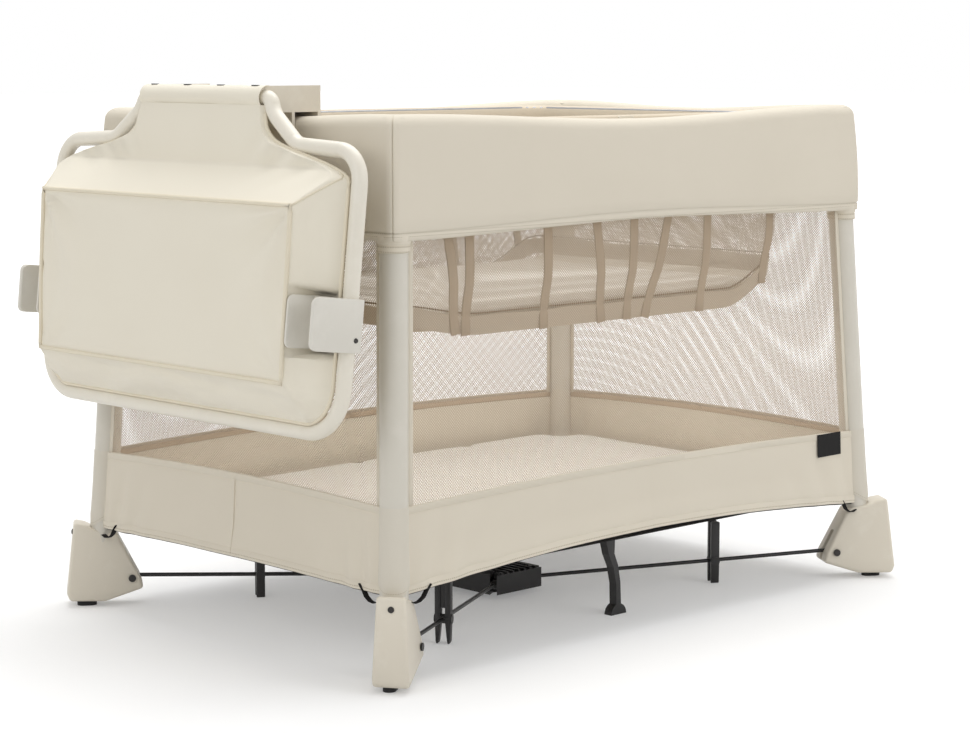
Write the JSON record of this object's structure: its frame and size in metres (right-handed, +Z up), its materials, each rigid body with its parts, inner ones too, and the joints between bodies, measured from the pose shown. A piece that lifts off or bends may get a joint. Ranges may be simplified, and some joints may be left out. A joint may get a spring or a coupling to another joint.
{
  "type": "bassinet on stand",
  "caption": "Folding playard on splayed legs with mesh walls, a hung bassinet tub and a changing tray that flips away over the end rail.",
  "frame": {"origin": "on the floor, in the middle of the outline with the changing tray hanging", "axes": "+X along the long side, away from the changing tray; +Y to the rear long side; +Z up"},
  "size_m": [1.1718, 0.757, 0.7755],
  "materials": {
    "cream_plastic": "fine grained moulded plastic",
    "glide": "soft pad",
    "post_tube": "cream powder coat",
    "steel": "plain",
    "black_plastic": "fine grained",
    "black_metal": "black powder coat",
    "beige_fabric": "plain weave",
    "mesh_fabric": "open knitted mesh",
    "mattress_fabric": "quilted",
    "pad_fabric": "brushed cotton",
    "tray_fabric": "coated cloth",
    "loop_tube": "cream powder coat"
  },
  "bodies": {
    "post_rear_right": {"post_rear_right": "post_tube", "foot_rear_right": "cream_plastic", "foot_pin_rear_right": "steel", "glide_rear_right": "glide", "bracket_rear_right": "black_plastic", "wall_rear_right": "beige_fabric"},
    "post_front_left": {"post_front_left": "post_tube", "foot_front_left": "cream_plastic", "foot_pin_front_left": "steel", "glide_front_left": "glide", "bracket_front_left": "black_plastic", "wall_front_left": "beige_fabric"},
    "arm_front_left": {"floor_arm_front_left": "black_metal", "floor_leg_front_left": "black_metal"},
    "long_rail_front_left": {"long_rail_front_left": "steel"},
    "short_rail_front_left": {"short_rail_front_left": "steel"},
    "post_front_right": {"post_front_right": "post_tube", "foot_front_right": "cream_plastic", "foot_pin_front_right": "steel", "glide_front_right": "glide", "bracket_front_right": "black_plastic", "wall_front_right": "beige_fabric"},
    "arm_front_right": {"floor_arm_front_right": "black_metal", "floor_leg_front_right": "black_metal"},
    "long_rail_front_right": {"long_rail_front_right": "steel"},
    "short_rail_front_right": {"short_rail_front_right": "steel"},
    "post_rear_left": {"post_rear_left": "post_tube", "foot_rear_left": "cream_plastic", "foot_pin_rear_left": "steel", "glide_rear_left": "glide", "bracket_rear_left": "black_plastic", "wall_rear_left": "beige_fabric"},
    "arm_rear_left": {"floor_arm_rear_left": "black_metal", "floor_leg_rear_left": "black_metal"},
    "long_rail_rear_left": {"long_rail_rear_left": "steel"},
    "short_rail_rear_left": {"short_rail_rear_left": "steel"},
    "arm_rear_right": {"floor_arm_rear_right": "black_metal", "floor_leg_rear_right": "black_metal"},
    "long_rail_rear_right": {"long_rail_rear_right": "steel"},
    "short_rail_rear_right": {"short_rail_rear_right": "steel"},
    "hub": {"hub": "black_plastic"},
    "handle": {"hub_handle": "black_plastic"},
    "accessories": {"mattress": "mattress_fabric", "mid_leg_front": "black_plastic", "mid_leg_rear": "black_plastic", "bassinet_tub": "mesh_fabric", "bassinet_rim": "steel", "bassinet_pad": "pad_fabric", "bassinet_bars": "black_metal", "bassinet_clips": "black_plastic", "changer_hinge": "cream_plastic"},
    "changer": {"changer_loop": "loop_tube", "changer_tray": "tray_fabric", "changer_saddle_front": "cream_plastic", "changer_saddle_rear": "cream_plastic"}
  },
  "joints": [
    {"name": "frame_fold", "type": "hinge", "parent": "post_rear_right", "child": "arm_rear_right", "pos_m": [0.49339, 0.30491, 0.043], "axis": [-0.5196, 0.8544, 0], "range_deg": [0, 74], "deforming": ["wall_front_left", "wall_front_right", "wall_rear_left", "wall_rear_right", "mattress"]},
    {"name": "fold_hub", "type": "hinge", "parent": "arm_rear_right", "child": "hub", "pos_m": [0.08389, 0.05591, 0.023], "axis": [-0.5196, 0.8544, 0], "range_deg": [-74, 0]},
    {"name": "fold_arm_front_left", "type": "hinge", "parent": "hub", "child": "arm_front_left", "pos_m": [-0.00264, -0.05591, 0.023], "axis": [0.5196, -0.8544, 0], "range_deg": [0, 74]},
    {"name": "fold_post_front_left", "type": "hinge", "parent": "arm_front_left", "child": "post_front_left", "pos_m": [-0.41214, -0.30491, 0.043], "axis": [0.5196, -0.8544, 0], "range_deg": [-74, 0]},
    {"name": "fold_arm_front_right", "type": "hinge", "parent": "hub", "child": "arm_front_right", "pos_m": [0.08389, -0.05591, 0.023], "axis": [0.5196, 0.8544, 0], "range_deg": [0, 74]},
    {"name": "fold_post_front_right", "type": "hinge", "parent": "arm_front_right", "child": "post_front_right", "pos_m": [0.49339, -0.30491, 0.043], "axis": [0.5196, 0.8544, 0], "range_deg": [-74, 0]},
    {"name": "fold_arm_rear_left", "type": "hinge", "parent": "hub", "child": "arm_rear_left", "pos_m": [-0.00264, 0.05591, 0.023], "axis": [-0.5196, -0.8544, 0], "range_deg": [0, 74]},
    {"name": "fold_post_rear_left", "type": "hinge", "parent": "arm_rear_left", "child": "post_rear_left", "pos_m": [-0.41214, 0.30491, 0.043], "axis": [-0.5196, -0.8544, 0], "range_deg": [-74, 0]},
    {"name": "fold_long_rail_front_left", "type": "hinge", "parent": "post_front_left", "child": "long_rail_front_left", "pos_m": [-0.3851, -0.29622, 0.715], "axis": [0, 1, 0], "range_deg": [0, 69.93]},
    {"name": "fold_short_rail_front_left", "type": "hinge", "parent": "post_front_left", "child": "short_rail_front_left", "pos_m": [-0.41609, -0.26522, 0.715], "axis": [-1, 0, 0], "range_deg": [0, 69.93]},
    {"name": "fold_long_rail_front_right", "type": "hinge", "parent": "post_front_right", "child": "long_rail_front_right", "pos_m": [0.46634, -0.29622, 0.715], "axis": [0, -1, 0], "range_deg": [0, 69.93]},
    {"name": "fold_short_rail_front_right", "type": "hinge", "parent": "post_front_right", "child": "short_rail_front_right", "pos_m": [0.49734, -0.26522, 0.715], "axis": [-1, 0, 0], "range_deg": [0, 69.93]},
    {"name": "fold_long_rail_rear_left", "type": "hinge", "parent": "post_rear_left", "child": "long_rail_rear_left", "pos_m": [-0.3851, 0.29622, 0.715], "axis": [0, 1, 0], "range_deg": [0, 69.93]},
    {"name": "fold_short_rail_rear_left", "type": "hinge", "parent": "post_rear_left", "child": "short_rail_rear_left", "pos_m": [-0.41609, 0.26522, 0.715], "axis": [1, 0, 0], "range_deg": [0, 69.93]},
    {"name": "fold_long_rail_rear_right", "type": "hinge", "parent": "post_rear_right", "child": "long_rail_rear_right", "pos_m": [0.46634, 0.29622, 0.715], "axis": [0, -1, 0], "range_deg": [0, 69.93]},
    {"name": "fold_short_rail_rear_right", "type": "hinge", "parent": "post_rear_right", "child": "short_rail_rear_right", "pos_m": [0.49734, 0.26522, 0.715], "axis": [1, 0, 0], "range_deg": [0, 69.93]},
    {"name": "accessory_lift", "type": "slide", "parent": "hub", "child": "accessories", "axis": [0, 0, 1], "range_m": [0, 0.6661]},
    {"name": "changer_flip", "type": "hinge", "parent": "accessories", "child": "changer", "pos_m": [-0.48938, 0, 0.76], "axis": [0, 1, 0], "range_deg": [0, 263.7]},
    {"name": "hub_release", "type": "slide", "parent": "hub", "child": "handle", "axis": [0, 0, 1], "range_m": [0, 0.012], "stiffness_N_per_m": 400, "springref_m": -0.004}
  ],
  "couplings": [
    {"joint": "fold_hub", "follows": "frame_fold", "ratio": -1},
    {"joint": "fold_arm_front_left", "follows": "frame_fold", "ratio": 1},
    {"joint": "fold_post_front_left", "follows": "frame_fold", "ratio": -1},
    {"joint": "fold_arm_front_right", "follows": "frame_fold", "ratio": 1},
    {"joint": "fold_post_front_right", "follows": "frame_fold", "ratio": -1},
    {"joint": "fold_arm_rear_left", "follows": "frame_fold", "ratio": 1},
    {"joint": "fold_post_rear_left", "follows": "frame_fold", "ratio": -1},
    {"joint": "fold_long_rail_front_left", "follows": "frame_fold", "ratio": 0.94503},
    {"joint": "fold_short_rail_front_left", "follows": "frame_fold", "ratio": 0.94503},
    {"joint": "fold_long_rail_front_right", "follows": "frame_fold", "ratio": 0.94503},
    {"joint": "fold_short_rail_front_right", "follows": "frame_fold", "ratio": 0.94503},
    {"joint": "fold_long_rail_rear_left", "follows": "frame_fold", "ratio": 0.94503},
    {"joint": "fold_short_rail_rear_left", "follows": "frame_fold", "ratio": 0.94503},
    {"joint": "fold_long_rail_rear_right", "follows": "frame_fold", "ratio": 0.94503},
    {"joint": "fold_short_rail_rear_right", "follows": "frame_fold", "ratio": 0.94503},
    {"joint": "accessory_lift", "follows": "frame_fold", "m_per_rad": 0.51566}
  ]
}
